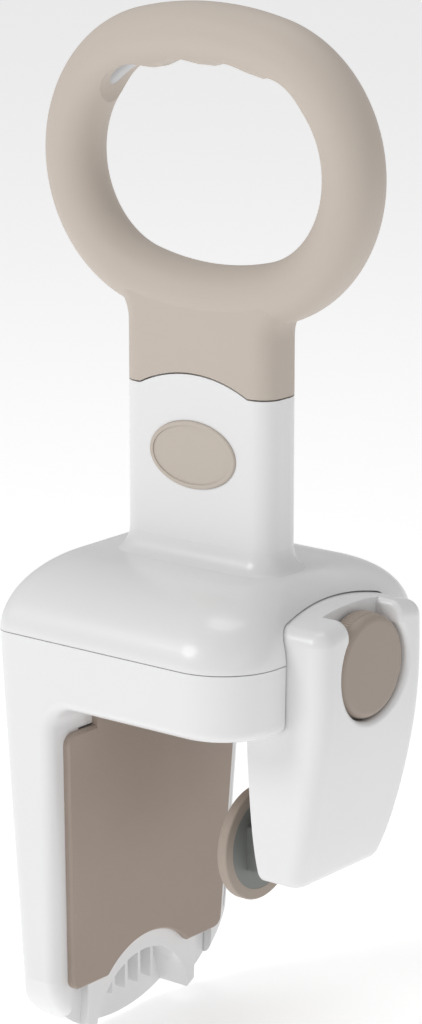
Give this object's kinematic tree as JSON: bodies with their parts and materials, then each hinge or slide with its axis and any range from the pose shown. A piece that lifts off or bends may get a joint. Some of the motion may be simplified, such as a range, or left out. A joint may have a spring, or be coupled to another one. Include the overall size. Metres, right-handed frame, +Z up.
{
  "type": "clamp-on bathtub grab handle",
  "caption": "Oval grab handle on a saddle that clamps over a tub wall: fixed padded leg outside, and a jaw with a swivelling round pad that a knob draws in by screw.",
  "frame": {"origin": "middle of the lower face of the rubber seat, where the saddle rests on the rim of the tub wall", "axes": "+X across the wall from the fixed leg to the sliding jaw, +Y along the wall, +Z up"},
  "size_m": [0.1743, 0.142, 0.4591],
  "materials": {
    "white_plastic": "satin gloss white moulding",
    "grip_plastic": "soft-touch taupe",
    "badge_plastic": "taupe, plain",
    "pad_rubber": "ribbed brown-grey rubber",
    "cup_rubber": "brown-grey rubber",
    "disc_plastic": "grey-green moulding",
    "knob_plastic": "taupe, knurled",
    "steel": "bright zinc-plated steel",
    "dark_steel": "black painted steel plate",
    "core_alloy": "cast alloy",
    "brass": "machined brass",
    "block_plastic": "black acetal"
  },
  "bodies": {
    "base": {"saddle_body": "white_plastic", "top_cover": "white_plastic", "leg_panel": "white_plastic", "wall_pad": "pad_rubber", "grip_core": "core_alloy", "grip_sleeve": "grip_plastic", "badge": "badge_plastic", "chassis": "dark_steel", "guide_block": "block_plastic", "drive_nut": "brass", "tongue_bolts": "steel", "tongue_nuts": "steel", "block_screws": "steel", "chassis_screws": "steel", "cover_screws": "steel", "panel_screws": "steel"},
    "jaw": {"jaw_shell": "white_plastic", "jaw_plate": "disc_plastic", "jaw_strut": "dark_steel", "guide_rods": "steel", "rod_nuts": "steel", "plate_screws": "steel", "thrust_washer": "steel", "pad_stud": "steel", "stud_insert": "brass"},
    "knob": {"knob": "knob_plastic", "lead_screw": "steel", "screw_collar": "steel", "collar_pin": "steel"},
    "bush": {"swivel_bush": "block_plastic"},
    "pad": {"pad_plate": "disc_plastic", "pad_cup": "cup_rubber"}
  },
  "joints": [
    {"name": "jaw_slide", "type": "slide", "parent": "base", "child": "jaw", "axis": [1, 0, 0], "range_m": [0, 0.076]},
    {"name": "knob_turn", "type": "hinge", "parent": "jaw", "child": "knob", "pos_m": [0.08, 0, 0.0271], "axis": [1, 0, 0], "range_deg": [0, 3420]},
    {"name": "pad_tilt_y", "type": "hinge", "parent": "jaw", "child": "bush", "pos_m": [0.032, 0, -0.0627], "axis": [0, 1, 0], "range_deg": [-8, 8]},
    {"name": "pad_tilt_z", "type": "hinge", "parent": "bush", "child": "pad", "pos_m": [0.032, 0, -0.0627], "axis": [0, 0, 1], "range_deg": [-8, 8]}
  ],
  "couplings": [
    {"joint": "knob_turn", "follows": "jaw_slide", "rad_per_m": 785.4}
  ]
}
